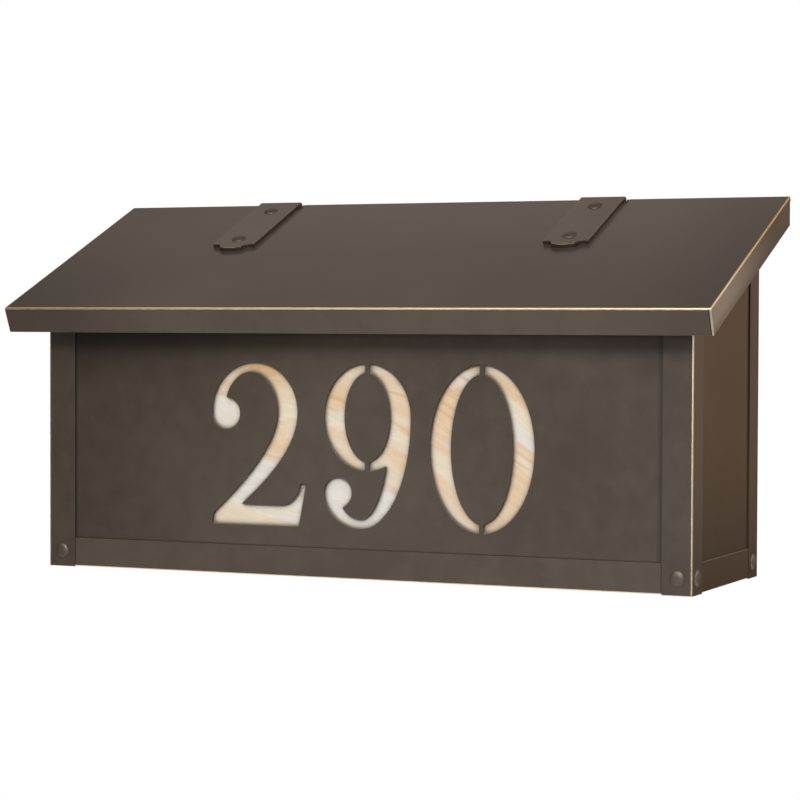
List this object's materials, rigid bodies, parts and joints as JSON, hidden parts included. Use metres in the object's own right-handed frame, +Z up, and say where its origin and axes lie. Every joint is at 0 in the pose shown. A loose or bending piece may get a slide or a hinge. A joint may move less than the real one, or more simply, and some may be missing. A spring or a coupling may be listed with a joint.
{
  "type": "wall mounted mailbox",
  "caption": "Wall mounted mailbox of dark bronzed sheet brass with a sloped lid on strap hinges, riveted angle posts, bottom rails and a cut house number over opal glass.",
  "frame": {"origin": "centre of the four wall screw holes, on the face that lies on the wall", "axes": "+X to the right along the wall as seen from the front, +Y into the wall, +Z up"},
  "size_m": [0.47, 0.1645, 0.2388],
  "materials": {
    "sheet_bronze": "dark bronze patina, satin, worn to gold along the folds",
    "frame_bronze": "dark bronze patina, satin, worn edges",
    "rivet_bronze": "dark bronze patina, slightly polished domes",
    "hinge_bronze": "brown patina, satin",
    "opal_glass": "opalescent cream art glass with amber streaks"
  },
  "bodies": {
    "box": {"back_plate": "sheet_bronze", "front_panel": "sheet_bronze", "left_side_panel": "sheet_bronze", "right_side_panel": "sheet_bronze", "floor_panel": "sheet_bronze", "front_left_post": "frame_bronze", "front_right_post": "frame_bronze", "back_left_post": "frame_bronze", "back_right_post": "frame_bronze", "front_rail": "frame_bronze", "left_rail": "frame_bronze", "right_rail": "frame_bronze", "front_post_rivets": "rivet_bronze", "left_post_rivets": "rivet_bronze", "right_post_rivets": "rivet_bronze", "number_glass": "opal_glass", "glass_clips": "hinge_bronze", "wall_spacers": "hinge_bronze", "left_hinge_bracket": "hinge_bronze", "right_hinge_bracket": "hinge_bronze", "bracket_rivets": "rivet_bronze", "left_hinge_pin": "hinge_bronze", "right_hinge_pin": "hinge_bronze"},
    "lid": {"lid_shell": "sheet_bronze", "left_hinge_strap": "frame_bronze", "right_hinge_strap": "frame_bronze", "left_strap_rivets": "rivet_bronze", "right_strap_rivets": "rivet_bronze"}
  },
  "joints": [
    {"name": "lid_hinge", "type": "hinge", "parent": "box", "child": "lid", "pos_m": [0, -0.0052, 0.11912], "axis": [-1, 0, 0], "range_deg": [0, 105]}
  ]
}
